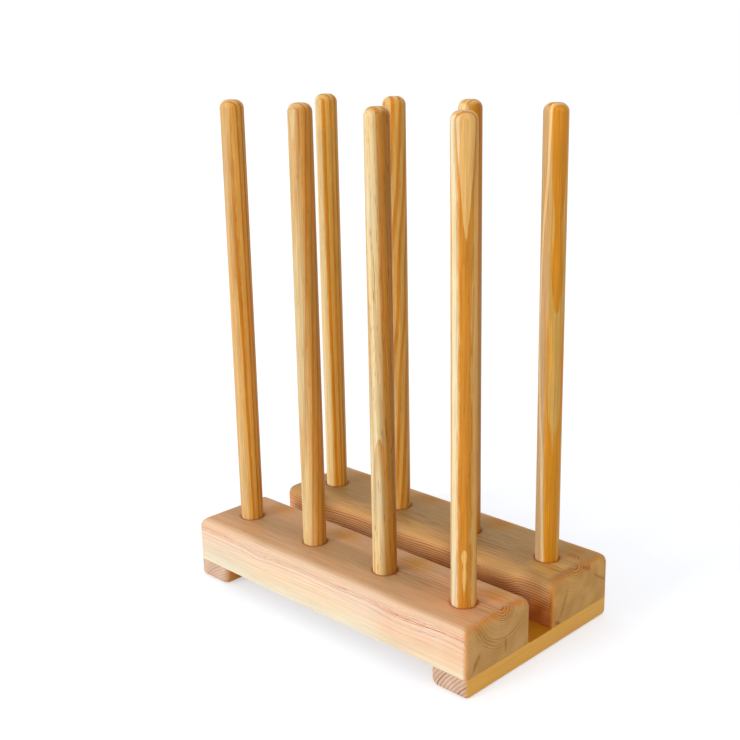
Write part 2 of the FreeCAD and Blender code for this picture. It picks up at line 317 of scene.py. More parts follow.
def rod_tree(timber, foot, tall, bark, turn, distance):
    """An upright rod whose bark side lies at a bearing, and turns from foot to top."""
    centred = timber.value("ShaderNodeMapping", {"Vector": timber.point, "Location": foot,
                                                 **IN_MM}, vector_type="TEXTURE")
    height = centred.axes()[2]
    angle = height * (-math.radians(turn) * MM / tall) - math.radians(bark)
    turned = timber.value("ShaderNodeVectorRotate", {"Vector": centred, "Angle": angle},
                          rotation_type="Z_AXIS")
    outward, across, up = turned.axes()
    return [up, outward + distance, across]


print("boards lie along", " or ".join(BOARD_AXES))

# %% [markdown]
# A class for wood adds what all of it shares: the point on the piece, its place in the tree,
# and fine noises that are drawn out along the grain. A look is a list of colours and
# strengths, and each kind of wood has its own.

# %% Timber
ROUGH = (3.0, 0.6)
THREAD_STRETCH = 0.025
THREAD_SIZE = 1.2
BAND_STRETCH = 0.012
BAND_SIZE = 4.0
QUICK_STRETCH = 0.12


def length(first, second):
    """The length of a slope with these two sides."""
    return (first * first + second * second).sum("SQRT")


class Timber(Recipe):
    """One wooden piece's material, and where its points lie in the tree."""

    def __init__(self, name, place, look, seed):
        super().__init__(bpy.data.materials.new(name))
        self.look = look
        spot = self.add("ShaderNodeTexCoord", {}).outputs
        self.point = Value(self, spot["Object"])
        self.place = self.point.axes()
        self.normal = Value(self, spot["Normal"]).axes()
        kind, *settings = place
        self.along, self.side, self.up = kind(self, *settings)
        self.shifted = self.along + seed
        self.threads = self.stretched(THREAD_STRETCH).noise(THREAD_SIZE, *ROUGH)
        self.bands = self.stretched(BAND_STRETCH).noise(BAND_SIZE)
        self.quick = self.stretched(QUICK_STRETCH).noise(look["quick_size"])

    def joined(self, along):
        return self.value("ShaderNodeCombineXYZ", {0: along, 1: self.side, 2: self.up})

    def stretched(self, share):
        """The point with its length along the grain squeezed, so that noise is drawn out."""
        return self.joined(self.shifted * share)


print("threads are", THREAD_SIZE, "mm wide")

# %% [markdown]
# The rings wander a little: slowly, quickly, and from fibre to fibre. Then they are counted.
# Whole numbers are years, and what is left says how late in its year a point lies: pale
# spring wood turns into a dark thin summer line, which ends sharply. Each year draws its own
# strength, and the line's inner side may be feathered.

# %% Rings
DRIFT_LIMIT = 30.0
FUZZ_STRETCH = 0.06
FUZZ_SIZE = 1.3
SWELL_RATE = 0.11
FEATHER_STRETCH = 0.14
FEATHER_SIZE = 3.0
FEATHER_SLANT = (0.0, 0.40, 0.0)


def wander(timber, drift):
    """The distance from the pith, with the rings' wander in it."""
    look = timber.look
    slow = timber.stretched(look["slow_stretch"]).noise(look["slow_size"], 1.0)
    fuzz = timber.stretched(FUZZ_STRETCH).noise(FUZZ_SIZE)
    reach = (length(timber.side, timber.up) + slow * look["slow_wander"]
             + timber.quick * look["quick_wander"] + fuzz * look["fuzz"])
    if drift:
        start, end, points = drift
        reach = reach + timber.along.curve(start, end, points, DRIFT_LIMIT)
    return reach


def count_years(timber, reach, ring, first):
    """The years from a first distance outwards. Far out, rings may be tighter."""
    look = timber.look
    outer = (reach - look["tight_from"]).sum("MAXIMUM", 0.0)
    years = (reach + outer * look["tighter"] - first) / ring
    if look["uneven"]:
        swell = timber.value("ShaderNodeTexNoise", {"W": reach * (SWELL_RATE / ring),
                                                    "Scale": 1.0}, "Fac",
                             noise_dimensions="1D")
        years = years + swell * look["uneven"]
    return years


def summer_wood(timber, years):
    """How much of a point is dark summer wood, from 0 to 1."""
    look = timber.look
    late = years.sum("FRACT").ramp(look["season"])
    slanted = timber.value("ShaderNodeMapping", {"Vector": timber.stretched(FEATHER_STRETCH),
                                                 "Rotation": FEATHER_SLANT})
    feather = slanted.noise(FEATHER_SIZE, *ROUGH) * look["feather"]
    late = (late + feather * (late * (1.0 - late))).rise_evenly(*look["crisp"])
    return late * years.lottery().rise(0, 1, *look["contrast"])


print("rings drift at most", DRIFT_LIMIT, "mm")

# %% [markdown]
# A rod cut across the edge of the sapwood has a pale side and a golden heartwood side, with a
# soft border. On every peg the pale side is turned towards the key light and the heartwood side
# away from it, and that side is darkened more: so the two sides are partly painted light and
# painted shade. Over all wood lie fibres, slow mottling and short dark dashes.

# %% Sapwood, with painted light and shade, and fibres
SAPWOOD_LIT_WANDER = 0.30
HEARTWOOD_SHADE_EDGES = (-0.65, -0.05)
MOTTLE_STRETCH = 0.25
MOTTLE_SIZE = 38.0
MOTTLE_EDGE = (-0.3, 0.3)
DASH_STRETCH = 0.06
DASH_SIZE = 1.0


def sapwood_lit_and_heartwood_shaded(timber, axis, way, radius, start, soft):
    """The shares of the pale outer wood and of the darker heartwood on a rod, across the way to
    its pale side. The pale side always faces the key light and the dark side faces away, so both
    are partly painted light and shade.
    """
    first, second = [timber.place[number] - axis[number] for number in (0, 1)]
    sideways = first * way.x + second * way.y + timber.bands * (SAPWOOD_LIT_WANDER * radius)
    sapwood_lit = sideways.rise((start - soft) * radius, (start + soft) * radius)
    return sapwood_lit, sideways.fall(*[edge * radius for edge in HEARTWOOD_SHADE_EDGES])


def over_fibres(timber, colour):
    """The slow mottling, the dashes and the fibres over a colour."""
    look = timber.look
    mottle = timber.stretched(MOTTLE_STRETCH).noise(MOTTLE_SIZE)
    warm = timber.blend(mottle.rise(*MOTTLE_EDGE), (1, 1, 1, 1), look["mottle_tint"])
    dash = timber.stretched(DASH_STRETCH).noise(DASH_SIZE, 1.0).rise(*look["dash_edge"])
    colour = timber.tinted(dash * look["dashes"], timber.multiplied(colour, warm),
                           look["dash_tint"])
    shade = timber.threads * look["threads"] + timber.bands * look["bands"]
    return timber.shaded(colour, shade + mottle * look["mottle"] + 1.0)


print("mottling is", MOTTLE_SIZE, "mm wide")

# %% [markdown]
# The open fibres of a cut end drink the finish, so an end has its own darker colours, clear
# rings and fine pores. Where a face turns over into an end, the rounding is painted a warm
# bright orange: partly the end grain's own colour there, and partly a painted highlight. The
# finish itself is a satin oil, duller on the ends, over a relief as fine as the fibres.

# %% Cut ends and finish
CUT_END = (0.35, 0.90)
TURN_STARTS = (0.04, 0.45)
TURN_ENDS = (0.60, 1.0)
UPWARD = (0.05, 0.45)
PORE_SIZE = 1.1
BLOT_SIZE = 22.0
BLOT_EDGE = (-0.2, 0.2)
TURN_BLOT_SIZE = 9.0
TURN_PATCHY = (-0.25, 0.15, 0.45, 1.0)
BAND_GLOSS = 0.12
THREAD_RELIEF = 0.8
LINE_RELIEF = 0.45
PORE_RELIEF = 0.9
RELIEF = 0.25 * MM


def over_ends(timber, colour, line):
    """The cut ends and the turned edges over a colour. Keeps where the ends are."""
    look = timber.look
    end_on = abs(timber.normal[look["grain_axis"]])
    timber.cut_end = end_on.rise(*CUT_END)
    spot = timber.joined(timber.along)
    timber.pores = spot.noise(PORE_SIZE, 3.0, 0.7)
    end = timber.blend(spot.noise(BLOT_SIZE, 1.0).rise(*BLOT_EDGE), look["end_low"],
                       look["end_high"])
    end = timber.tinted(line, end, look["end_line_tint"])
    end = timber.shaded(end, timber.pores * look["pores"] + 1.0)
    colour = timber.blend(timber.cut_end, colour, end)
    # The turned edges are partly their own warm colour and partly a painted highlight.
    upward = timber.normal[2].rise(*UPWARD, look["turning_sides"], look["turning"])
    patchy = spot.noise(TURN_BLOT_SIZE).rise(*TURN_PATCHY)
    turned = end_on.rise(*TURN_STARTS) * end_on.fall(*TURN_ENDS) * upward * patchy
    ringed = timber.tinted(line, look["turning_colour"], look["turning_lines"])
    return timber.blend(turned, colour, ringed)


def oil(timber, colour, line):
    """The finish over the colour. Threads, rings and pores are felt in it."""
    look = timber.look
    gloss = timber.cut_end.rise(0, 1, look["roughness"], look["end_roughness"])
    relief = (timber.threads * THREAD_RELIEF + line * LINE_RELIEF
              + timber.pores * (timber.cut_end * PORE_RELIEF))
    bump = timber.value("ShaderNodeBump", {"Height": relief, "Strength": look["bump"],
                                           "Distance": RELIEF})
    timber.feed(timber.surface, {
        "Base Color": colour, "Roughness": gloss + timber.bands * BAND_GLOSS,
        "Specular IOR Level": look["shine"], "Coat Weight": look["coat"],
        "Coat Roughness": look["coat_roughness"], "Normal": bump})


print("the relief is", RELIEF / MM, "mm deep")

# %% [markdown]
# Every wooden piece is coloured by the same recipe, from the pith outwards. The same rings
# meet at every edge, and the ends show arcs by themselves. Marks that belong to one place
# come last, under the finish.

# %% The wood recipe
REACH_LIMIT = 100.0
STRONG_LIMIT = 2.0


def wood(name, place, ring, look, seed=0.0, first=0.0, drift=None, strong=None, marks=(),
         sapwood_lit_side=None):
    """Wood for one piece.

    place says where a point lies in its tree, ring is the width of a year's growth, and look
    holds the colours and strengths. first is the distance from the pith where the count of
    rings starts. drift moves the rings along the grain: (start, end, points of a curve).
    strong says how strong the summer lines are at each distance from the pith, up to
    REACH_LIMIT. marks are shares and tints to lay over the wood. sapwood_lit_side turns one side
    of a rod paler and darkens the other: its colour, then what sapwood_lit_and_heartwood_shaded
    takes. The pale side faces the key light, so this is partly painted light and painted shade.
    A place and a mark are each given as a function and its settings.
    """
    timber = Timber(name, place, look, seed)
    reach = wander(timber, drift)
    line = end_line = summer_wood(timber, count_years(timber, reach, ring, first))
    if strong:
        line, end_line = [line * reach.curve(0.0, REACH_LIMIT, points, STRONG_LIMIT)
                          for points in (strong, look["end_strong"])]
    base = reach.rise_evenly(0.0, REACH_LIMIT).ramp(look["base"])
    # On a rod, the pale side turned to the key light is partly painted light.
    if sapwood_lit_side:
        sapwood_lit, heart = sapwood_lit_and_heartwood_shaded(timber, *sapwood_lit_side[1:])
        base = timber.blend(sapwood_lit, base, sapwood_lit_side[0])
        line = end_line = line * sapwood_lit.rise(0.0, 1.0, 1.0, look["sap_lines"])
    dark = look["line_colour"] or timber.multiplied(base, look["line_tint"])
    colour = timber.blend(line, base, dark)
    # Painted shade: the rod's side away from the key light is darkened.
    if sapwood_lit_side:
        colour = timber.tinted(heart, colour, look["heart_tint"])
    colour = over_ends(timber, over_fibres(timber, colour), end_line)
    for kind, *settings in marks:
        for share, tint in kind(timber, *settings):
            colour = timber.tinted(share, colour, tint)
    oil(timber, colour, line)
    print(f"{name}: {len(timber.tree.nodes)} nodes, rings {ring} mm")
    return timber.material


print("the wood recipe reaches", REACH_LIMIT, "mm from the pith")

# %% [markdown]
# The sizes that the looks share with the construction are read from the frame, which holds
# them: the beams' and battens' boxes, and the pegs' axes and radius.

# %% Sizes from the frame
PEG_NAMES = [f"peg_{row}_{number}" for row in ("front", "rear") for number in range(1, 5)]
peg_axes = {}
for peg_name in PEG_NAMES:
    low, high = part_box(peg_name)
    peg_axes[peg_name] = Vector(((low.x + high.x) / 2, (low.y + high.y) / 2))
peg_low, peg_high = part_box("peg_front_1")
PEG_RADIUS = (peg_high.x - peg_low.x) / 2
PEG_FOOT = peg_low.z
PEG_TOP = peg_high.z
BEAM_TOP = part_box("front_beam")[1].z
BEAM_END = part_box("front_beam")[1].x
BATTEN_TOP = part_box("right_batten")[1].z
GAP_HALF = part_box("rear_beam")[0].y
print("peg radius", round(PEG_RADIUS / MM, 2), "mm, beam top", round(BEAM_TOP / MM, 2), "mm")

# %% [markdown]
# Real boards carry marks that belong to one place. The finish gathers round the mouth of a
# drilled hole, and tears in the grain drink it; the darker ring at the mouth is partly that
# finish and partly painted shade, strongest on the side away from the light, and a warm patch
# behind each peg is painted light. The strip of each batten's top between the beams is painted
# shade. Some straight bands are painted light and shade too: a highlight up the ends' corners,
# and shade and light on the rear beam's face in the gap. Each kind of mark is a function that
# says how strong the mark is at a point, and its tint. Places are in millimetres, as they would
# be marked on the board.

# %% Marks of the finish, and painted light and shade
MOUTH_RING = (0.6 * MM, 4.4 * MM)
MOUTH_SIDE = (-0.8, 0.7, 0.65, 1.0)
MOUTH_WOBBLE = 2.0 * MM
TEAR_START = 2.5 * MM
TEAR_LUCK = 3.0 * MM
TEAR_WIDTH = (0.5 * MM, 2.0 * MM)
TEAR_STRENGTH = 0.9
# Where the painted warm light behind each peg lies, and how far it reaches.
PEG_LIGHT_PLACE = (15 * MM, 34 * MM)
PEG_LIGHT_REACH = (22 * MM, 18 * MM)
PEG_LIGHT_EDGE = (0.1, 1.3)
SMEAR_ENDS = (0.55, 1.1)
SMEAR_WOBBLE = 4.0 * MM
SMEAR_PATCHY = (-0.2, 0.15, 0.45, 1.0)
FACE_DEPTH = (8 * MM, 14 * MM)
PATCH_WOBBLE = 0.6
PATCH_EDGE = (0.2, 1.1)
FLAT_ENDS = (13 * MM, 6 * MM)
SHADED_TOP_DEPTH = (0.6 * MM, 0.2 * MM)


def near_top(timber, starts, full):
    """0 inside a beam and 1 at its top, from and to these depths in millimetres."""
    return timber.place[2].rise(BEAM_TOP - starts * MM, BEAM_TOP - full * MM)


def mouth_marks_and_painted_light(timber, row, pitch, radius, tint, glow):
    """Round a row of holes: a darker ring at the mouth, partly finish and partly painted shade
    that is strongest on the side away from the light; painted warm light behind each peg; and a
    torn fibre.
    """
    x, y, _ = timber.place
    from_hole = (x - pitch / 2).sum("WRAP", pitch / 2, -pitch / 2)
    across = y - row
    wobble = timber.quick * MOUTH_WOBBLE
    far = length(from_hole, across) + wobble
    ring = (far.fall(radius + MOUTH_RING[0], radius + MOUTH_RING[1])
            * (from_hole / far).rise(*MOUTH_SIDE))
    luck = (x / pitch).lottery()
    torn = from_hole - (luck * TEAR_LUCK + (radius + TEAR_START))
    tear = (abs(across + wobble).fall(*TEAR_WIDTH) * torn.fall(-1.5 * MM, 1.0 * MM)
            * from_hole.rise(0.0, 1.0 * MM))
    share = ring.sum("MAXIMUM", tear * TEAR_STRENGTH)
    behind = length((from_hole - PEG_LIGHT_PLACE[0]) / PEG_LIGHT_REACH[0],
                    (across - PEG_LIGHT_PLACE[1]) / PEG_LIGHT_REACH[1])
    golden = (behind + timber.quick * 0.8).fall(*PEG_LIGHT_EDGE) * luck.rise(0.0, 1.0, 0.8, 1.0)
    top = near_top(timber, 6, 2)
    return [(golden * top, glow), (share * top, tint)]


def smear_and_painted_light(timber, start, end, width, strength, tint, face=None):
    """A soft straight band between two points: (y, z) on the cut ends, or (x, z) on the long
    face that lies at this y. It draws real smudges and scratches, and also painted highlights,
    painted shade and painted light."""
    x, y, z = timber.place
    first = (y if face is None else x) - start[0] * MM
    second = z - start[1] * MM
    run = Vector((end[0] - start[0], end[1] - start[1]))
    way = run.normalized()
    middle = run.length * MM / 2
    down = first * way.x + second * way.y
    off = abs(second * way.x - first * way.y + timber.quick * SMEAR_WOBBLE)
    inside = abs(down - middle).fall(*[middle * share for share in SMEAR_ENDS])
    patchy = timber.point.noise(max(5.0, width) * MM, 1.0).rise(*SMEAR_PATCHY)
    share = inside * off.fall(0.0, width * MM, strength) * patchy
    if face is None:
        return [(share * timber.cut_end, tint)]
    near = abs(y - face * MM).fall(*FACE_DEPTH) * (1.0 - timber.cut_end)
    return [(share * near, tint)]


def patch(timber, centre, radii, tint):
    """A soft patch of another tone on a beam's flat top, an ellipse of two radii."""
    first, second = [(timber.place[number] - centre[number] * MM) / (radii[number] * MM)
                     for number in (0, 1)]
    share = (length(first, second) + timber.quick * PATCH_WOBBLE).fall(*PATCH_EDGE)
    flat = abs(timber.place[0]).fall(*[BEAM_END - inset for inset in FLAT_ENDS])
    return [(share * near_top(timber, 8, 4) * flat, tint)]


def between_beams(timber, tint):
    """The strip of a batten's top between the beams, darkened: painted shade of the beams on
    either side.
    """
    strip = abs(timber.place[1]).fall(GAP_HALF, GAP_HALF + MM)
    top = timber.place[2].rise(*[BATTEN_TOP - depth for depth in SHADED_TOP_DEPTH])
    return [(strip * top, tint)]


# Of these, the battens' strips are painted shade, and parts of the mouths and some bands are
# painted light and shade.
print("marks of the finish: mouths, smears, patches and pools")

# %% [markdown]
# Other marks grew in the tree. One year's ring may be darker than the rest, a small knot
# shows as reddish arcs in a golden patch, fine dark fibres come to the surface on a part of a
# top, and a crisp pale streak runs up a peg.

# %% Marks of the tree
BAND_WOBBLE = 3.0 * MM
BAND_BLOT = 14.0 * MM
BAND_PATCHY = (-0.15, 0.10, 0.2, 1.0)
KNOT_RINGS = 4.0 * MM
KNOT_SQUEEZE = 1.5
KNOT_SLANT = 0.35
KNOT_WOBBLE = 7.0 * MM
KNOT_LINE = (0.1 * MM, 1.6 * MM)
KNOT_SIDE = (-0.5, 0.5, 0.2, 1.0)
FIBRE_EDGE = 14
FIBRE_STRETCH = (0.03, 1, 1)
FIBRE_SIZE = 1.2 * MM
FIBRE_LINES = (-0.05, 0.16)
HALF_TURN = 180.0
STREAK_WOBBLE = 6.0


def grown_band(timber, pith, radius, width, strength, tint):
    """A soft dark band that follows the rings of one year, seen on the ends."""
    _, y, z = timber.place
    far = length(y - pith[0] * MM, z - pith[1] * MM) + timber.quick * BAND_WOBBLE
    patchy = timber.point.noise(BAND_BLOT, 1.0).rise(*BAND_PATCHY)
    share = abs(far - radius * MM).fall(0.0, width * MM, strength) * patchy
    return [(share * timber.cut_end, tint)]


def knot(timber, centre, radius, tint, glow):
    """A small slanting knot on a beam's top: dark arcs round it, in a golden patch."""
    x, y, _ = timber.place
    second = (y - centre[1] * MM) * KNOT_SQUEEZE
    first = second * KNOT_SLANT + (x - centre[0] * MM)
    far = length(first, second) + timber.quick * KNOT_WOBBLE
    arcs = abs(far.sum("WRAP", KNOT_RINGS, 0.0) - KNOT_RINGS / 2).fall(*KNOT_LINE)
    share = (arcs * (second / far).rise(*KNOT_SIDE)
             * far.fall(radius * 0.8 * MM, radius * 1.3 * MM))
    golden = far.fall(radius * 0.6 * MM, radius * 2.4 * MM, 0.8)
    top = near_top(timber, 8, 4)
    return [(golden * top, glow), (share * top, tint)]


def fine_fibres(timber, low, high, strength, tint):
    """A part of a beam's top where fine dark fibres show, between two (x, y) corners."""
    share = near_top(timber, 3, 1) * strength
    for value, start, end in zip(timber.place[:2], low, high):
        share = (share * value.rise((start - FIBRE_EDGE) * MM, (start + FIBRE_EDGE) * MM)
                 * value.fall((end - FIBRE_EDGE) * MM, (end + FIBRE_EDGE) * MM))
    drawn = timber.value("ShaderNodeMapping", {"Vector": timber.point, "Scale": FIBRE_STRETCH})
    return [(share * drawn.noise(FIBRE_SIZE).rise(*FIBRE_LINES), tint)]


def pale_streak(timber, axis, path, width, tint):
    """A crisp paler streak up a peg, from its bearing in degrees at shares of the height."""
    x, y, z = timber.place
    here = (y - axis.y).sum("ARCTAN2", x - axis.x) * math.degrees(1.0)
    off = abs(here - z.curve(BEAM_TOP, PEG_TOP, path, HALF_TURN) + timber.quick * STREAK_WOBBLE)
    return [(off.fall(width * 0.6, width), tint)]


print("marks of the tree: bands, knots, fibres and streaks")

# %% [markdown]
# The beams are a slow-grown reddish softwood with fine rings and a pale sapwood. On the long
# faces its summer lines hardly show, except where the saw ran along a ring. The battens are
# cut from a yellower board. The pegs are fast-grown pine: wide rings, and a good part of each
# ring a strong orange.

# %% Three kinds of wood
FINE_SEASON = ((0.0, 0.7), (0.07, 0.0), (0.50, 0.04), (0.80, 0.45), (0.94, 1.0), (1.0, 0.95))


def wide_season(start, full):
    """A year that is pale until a share of it has passed, and dark from a later one."""
    return ((0.0, 0.9), (0.012, 0.0), (start, 0.06), (full, 0.88), (1.0, 1.0))


FRONT_LOOK = dict(
    grain_axis=0,
    slow_stretch=0.10, slow_size=34.0, slow_wander=5.0,
    quick_size=9.0, quick_wander=1.6, fuzz=0.45, uneven=1.6,
    season=FINE_SEASON, contrast=(0.2, 1.2),
    tight_from=46.0, tighter=2.2, crisp=(0.0, 1.0),
    base=((0.0, chart(204, 160, 118)), (0.50, chart(210, 168, 126)),
          (0.585, chart(236, 207, 177)), (0.64, chart(245, 224, 199)),
          (0.71, chart(242, 217, 187)), (0.765, chart(242, 226, 197)),
          (0.84, chart(243, 236, 211))),
    line_tint=chart(214, 148, 112), line_colour=None, feather=0.0,
    threads=0.42, bands=0.24, mottle=0.18, mottle_tint=chart(255, 246, 234),
    dashes=0.30, dash_edge=(0.20, 0.30), dash_tint=chart(218, 176, 144),
    end_low=chart(210, 158, 88), end_high=chart(222, 172, 106),
    end_line_tint=chart(190, 144, 104), pores=0.30,
    end_strong=((0.0, 1.1), (0.2, 1.1), (0.28, 0.5), (0.34, 0.5), (0.38, 1.0),
                (0.46, 1.0), (0.52, 0.5), (0.75, 0.3), (1.0, 0.2)),
    turning=0.9, turning_sides=0.3, turning_colour=chart(222, 144, 58),
    turning_lines=chart(176, 108, 62),
    roughness=0.50, end_roughness=0.65, shine=0.18, coat=0.0,
    coat_roughness=0.3, bump=0.20,
)
# The rear beam's top is darker and greyer than the front's: partly its own wood, and partly
# painted shade of the boots that hung on the pegs, which are not modelled. Its upright corners
# get the warm turned colour in full, which is partly a painted highlight.
REAR_LOOK = dict(
    FRONT_LOOK, tight_from=40.0, tighter=0.2,
    base=((0.0, chart(168, 137, 86)), (0.42, chart(181, 145, 92)),
          (0.50, chart(226, 176, 118)), (0.57, chart(248, 196, 142)),
          (0.66, chart(226, 158, 102)), (0.80, chart(206, 134, 80))),
    line_tint=chart(160, 104, 68), contrast=(0.5, 1.0),
    season=((0.0, 0.8), (0.10, 0.0), (0.60, 0.05), (0.85, 0.5), (0.96, 1.0), (1.0, 1.0)),
    end_low=chart(206, 154, 84), end_high=chart(224, 172, 98), end_line_tint=chart(196, 150, 110),
    end_strong=((0.0, 1.5), (0.16, 1.5), (0.26, 0.9), (0.36, 0.5), (0.5, 0.35), (1.0, 0.2)),
    turning=0.8, turning_sides=1.0, turning_colour=chart(208, 138, 56),
)
BATTEN_LOOK = dict(
    FRONT_LOOK, grain_axis=1, tighter=0.0,
    base=((0.0, chart(244, 186, 86)), (1.0, chart(248, 190, 90))),
    line_tint=chart(238, 206, 160), contrast=(0.4, 1.0), slow_wander=4.0, mottle=0.14,
    bands=0.10, threads=0.30,
    end_low=chart(214, 178, 152), end_high=chart(228, 196, 170),
    end_line_tint=chart(148, 108, 92), end_strong=((0.0, 1.2), (1.0, 1.2)),
    turning=0.3, turning_colour=chart(222, 168, 108),
)
PEG_LOOK = dict(
    FRONT_LOOK, grain_axis=2, tighter=0.0,
    contrast=(0.85, 1.0), slow_size=30.0, slow_wander=0.8,
    slow_stretch=0.12, quick_wander=0.35, fuzz=0.20, uneven=0.0,
    feather=5.0, crisp=(0.25, 0.80), sap_lines=0.35,
    threads=0.85, bands=0.50, mottle=0.20, mottle_tint=chart(255, 240, 214),
    dash_edge=(0.12, 0.26), dash_tint=chart(206, 160, 108),
    end_low=chart(222, 178, 112), end_high=chart(228, 186, 120),
    end_line_tint=chart(226, 176, 116), pores=0.15,
    turning=0.0, turning_sides=0.0, roughness=0.42, end_roughness=0.50, shine=0.14,
    coat=0.04, coat_roughness=0.20, bump=0.14, heart_tint=(0.80, 0.75, 0.60, 1.0),
)
print("four looks are mixed")

# %% [markdown]
# A board starts as a block of its real size. The rounding cutter leaves one radius on each
# kind of edge, which a bevel with a weight on each edge does in one go: the weight says what
# share of the widest radius an edge gets. The corners between them come out clean, as long as
# the widths that meet there are somewhat alike.

# %% Boards
ROUND_STEPS = 10
TOUCH = 1e-5


def only_selected(piece):
    bpy.ops.object.select_all(action="DESELECT")
    piece.select_set(True)
    bpy.context.view_layer.objects.active = piece


def add_block(name, low, high):
    """A block between two corners, with its place in its mesh."""
    bpy.ops.mesh.primitive_cube_add(size=1, location=(low + high) / 2, scale=high - low)
    block = bpy.context.object
    block.name = block.data.name = name
    bpy.ops.object.transform_apply()
    return block


def edit_chosen(piece, kind, chooser):
    """Starts to edit a piece, with the edges or faces selected that a chooser accepts."""
    only_selected(piece)
    bpy.ops.object.mode_set(mode="EDIT")
    bpy.ops.mesh.select_mode(type=kind)
    bpy.ops.mesh.select_all(action="DESELECT")
    bpy.ops.object.mode_set(mode="OBJECT")
    for part in piece.data.edges if kind == "EDGE" else piece.data.polygons:
        part.select = chooser(part)
    bpy.ops.object.mode_set(mode="EDIT")


def weigh_edges(block, chooser, weight):
    """Adds a bevel weight to the edges whose two ends a chooser accepts."""
    places = block.data.vertices
    edit_chosen(block, "EDGE", lambda edge: chooser(*[places[end].co for end in edge.vertices]))
    bpy.ops.transform.edge_bevelweight(value=weight)
    bpy.ops.object.mode_set(mode="OBJECT")


def apply_bevel(block, width, steps=ROUND_STEPS):
    rounding = block.modifiers.new("rounding", "BEVEL")
    rounding.limit_method = "WEIGHT"
    rounding.width = width
    rounding.segments = steps
    only_selected(block)
    bpy.ops.object.modifier_apply(modifier=rounding.name)


def both_at(axis, value):
    """A chooser for edges whose two ends lie at one height of an axis."""
    return lambda first, second: (abs(first[axis] - value) < TOUCH
                                  and abs(second[axis] - value) < TOUCH)


def both(one, other):
    return lambda first, second: one(first, second) and other(first, second)


print("a rounding has", ROUND_STEPS, "steps")

# %% [markdown]
# Holes are bored with the cutter that makes the real ones: a drill for the hole and a
# countersink for its mouth. Each is a turned solid that a boolean takes out of the board.

# %% Drilling
DRILL_SIDES = 72


def turned_cutter(name, axis_place, outline):
    """A solid of revolution round an upright axis, from (radius, height) pairs."""
    radius, height = outline[0]
    bpy.ops.mesh.primitive_circle_add(vertices=DRILL_SIDES, radius=radius, fill_type="NGON",
                                      location=(*axis_place, height))
    cutter = bpy.context.object
    cutter.name = name
    bpy.ops.object.transform_apply()
    bpy.ops.object.mode_set(mode="EDIT")
    bpy.ops.mesh.select_all(action="SELECT")
    for next_radius, next_height in outline[1:]:
        bpy.ops.mesh.extrude_region_move(
            TRANSFORM_OT_translate={"value": (0, 0, next_height - height)})
        share = next_radius / radius
        bpy.ops.transform.resize(value=(share, share, 1),
                                 center_override=(*axis_place, next_height))
        radius, height = next_radius, next_height
    bpy.ops.mesh.select_all(action="SELECT")
    bpy.ops.mesh.normals_make_consistent(inside=False)
    bpy.ops.object.mode_set(mode="OBJECT")
    return cutter


def take_out(board, cutters):
    """Cuts the cutters out of a board in one boolean, and throws them away."""
    bpy.ops.object.select_all(action="DESELECT")
    for cutter in cutters:
        cutter.select_set(True)
    bpy.context.view_layer.objects.active = cutters[0]
    bpy.ops.object.join()
    tool = bpy.context.object
    cut = board.modifiers.new("drilling", "BOOLEAN")
    cut.operation = "DIFFERENCE"
    cut.solver = "EXACT"
    cut.object = tool
    only_selected(board)
    bpy.ops.object.modifier_apply(modifier=cut.name)
    bpy.data.objects.remove(tool)


print("drills have", DRILL_SIDES, "sides")

# %% [markdown]
# All four top edges of a beam get the same wide rounding, and its upright corners half of
# it. The lower edges are only eased, by a second bevel: where two very unlike widths meet at
# a corner, a single bevel would grow a thin lip. The four peg holes are blind, with a small
# chamfer at the mouth. The screws' pilot holes, which nothing shows, are left out.

# %% Beams
TOP_ROUND = 10.0 * MM
CORNER_SHARE = 5.0 / 10.0
EASE = 0.5 * MM
EASE_STEPS = 3
HOLE_ROOM = 0.1 * MM
MOUTH_CHAMFER = 0.8 * MM

low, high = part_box("front_beam")
first_beam = add_block("first_beam", low, high)
weigh_edges(first_beam, both_at(2, high.z), 1.0)
for x in (low.x, high.x):
    for y in (low.y, high.y):
        weigh_edges(first_beam, both(both_at(0, x), both_at(1, y)), CORNER_SHARE)
apply_bevel(first_beam, TOP_ROUND)
weigh_edges(first_beam, lambda first, second: True, -1.0)
weigh_edges(first_beam, both_at(2, low.z), 1.0)
apply_bevel(first_beam, EASE, EASE_STEPS)

hole = PEG_RADIUS + HOLE_ROOM
mouth = hole + MOUTH_CHAMFER
outline = [(hole, PEG_FOOT), (hole, BEAM_TOP - MOUTH_CHAMFER), (mouth, BEAM_TOP),
           (mouth, BEAM_TOP + MM)]
take_out(first_beam, [turned_cutter("peg_drill", peg_axes[name], outline)
                      for name in PEG_NAMES if "front" in name])

print("a beam has", len(first_beam.data.polygons), "faces")

# %% [markdown]
# The two beams are the same board turned out twice, so the second is a copy, moved back by
# the distance between the two. Only their wood differs. Each was sawn from just below the
# pith of a slow-grown tree, and small dips in the grain run across its face. Some of their
# marks are painted light and shade: highlights up the ends' corners, shade and light on the
# rear beam's face in the gap, and shade and warm light round the pegs' feet.

# %% The beams' wood
SMOOTH_ANGLE = math.radians(35)
FRONT_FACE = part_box("front_beam")[0].y / MM
GAP_FACE = GAP_HALF / MM
FRONT_ROW = peg_axes["peg_front_1"].y
REAR_ROW = peg_axes["peg_rear_1"].y
PEG_PITCH = peg_axes["peg_front_2"].x - peg_axes["peg_front_1"].x
# The mouths' darker ring: partly gathered finish, and partly painted shade.
FINISH_AND_SHADE_TINT = chart(224, 160, 98)
# Painted warm light on the top behind each peg.
PAINTED_PEG_LIGHT_TINT = (1.04, 0.84, 0.22, 1.0)
KNOT_GLOW = (1.28, 1.02, 0.50, 1.0)
# A painted highlight up the upright corners of the beams' ends.
PAINTED_EDGE_HIGHLIGHT = (1.22, 0.90, 0.55, 1.0)
